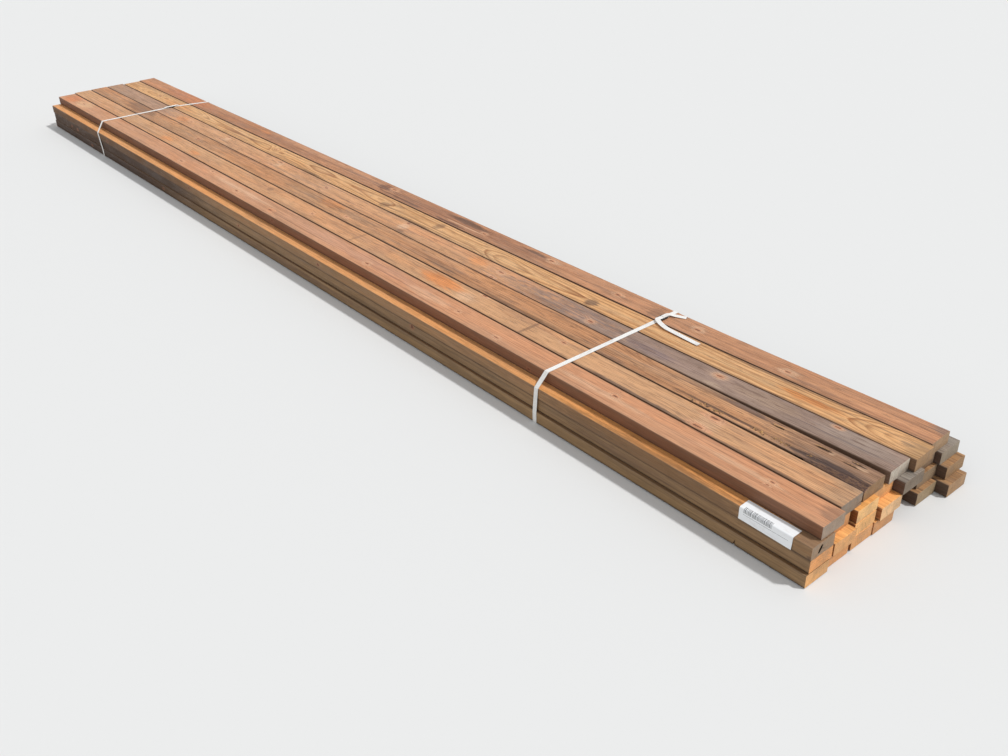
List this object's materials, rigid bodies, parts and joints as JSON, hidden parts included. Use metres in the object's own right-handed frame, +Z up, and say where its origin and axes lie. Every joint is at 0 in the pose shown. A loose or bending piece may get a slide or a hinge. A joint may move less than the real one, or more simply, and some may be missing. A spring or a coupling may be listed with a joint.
{
  "type": "stack of lumber",
  "caption": "Long strapped stack of weathered dimension lumber, with uneven ends, two cord straps with wire buckles and a folded paper tag.",
  "frame": {"origin": "bottom centre of the whole stack, on the floor it lies on", "axes": "+X along the boards towards the tagged end, +Y across the stack towards the back, +Z up"},
  "size_m": [4.946, 0.6554, 0.1617],
  "materials": {
    "pink_tan_wood": "weathered, sawn and planed",
    "light_tan_wood": "weathered, planed",
    "rough_brown_wood": "weathered, with wane and bark",
    "grey_wood": "weathered grey, planed",
    "yellow_wood": "planed, strong flat grain",
    "rose_wood": "weathered, planed",
    "second_row_wood": "weathered, planed, fresh where covered",
    "third_row_wood": "weathered, planed, fresh where covered",
    "bottom_row_wood": "weathered, planed, stained near the ground",
    "strap_cord": "white woven cord strap",
    "buckle_wire": "dark phosphated wire",
    "tag_paper": "white coated paper"
  },
  "bodies": {
    "root": {"bottom_board_1": "bottom_row_wood", "bottom_board_2": "bottom_row_wood", "bottom_board_3": "bottom_row_wood", "bottom_board_4": "bottom_row_wood", "bottom_board_5": "bottom_row_wood", "bottom_board_6": "bottom_row_wood", "bottom_board_7": "bottom_row_wood", "far_buckle": "buckle_wire", "far_strap": "strap_cord", "near_buckle": "buckle_wire", "near_strap": "strap_cord", "paper_tag": "tag_paper", "second_board_1": "second_row_wood", "second_board_2": "second_row_wood", "second_board_3": "second_row_wood", "second_board_4": "second_row_wood", "second_board_5": "second_row_wood", "second_board_6": "second_row_wood", "second_board_7": "second_row_wood", "third_board_1": "third_row_wood", "third_board_2": "third_row_wood", "third_board_3": "third_row_wood", "third_board_4": "third_row_wood", "third_board_5": "third_row_wood", "third_board_6": "third_row_wood", "third_board_7": "third_row_wood", "top_board_1": "pink_tan_wood", "top_board_2": "light_tan_wood", "top_board_3": "rough_brown_wood", "top_board_4": "grey_wood", "top_board_5": "yellow_wood", "top_board_6": "rose_wood"}
  },
  "joints": []
}
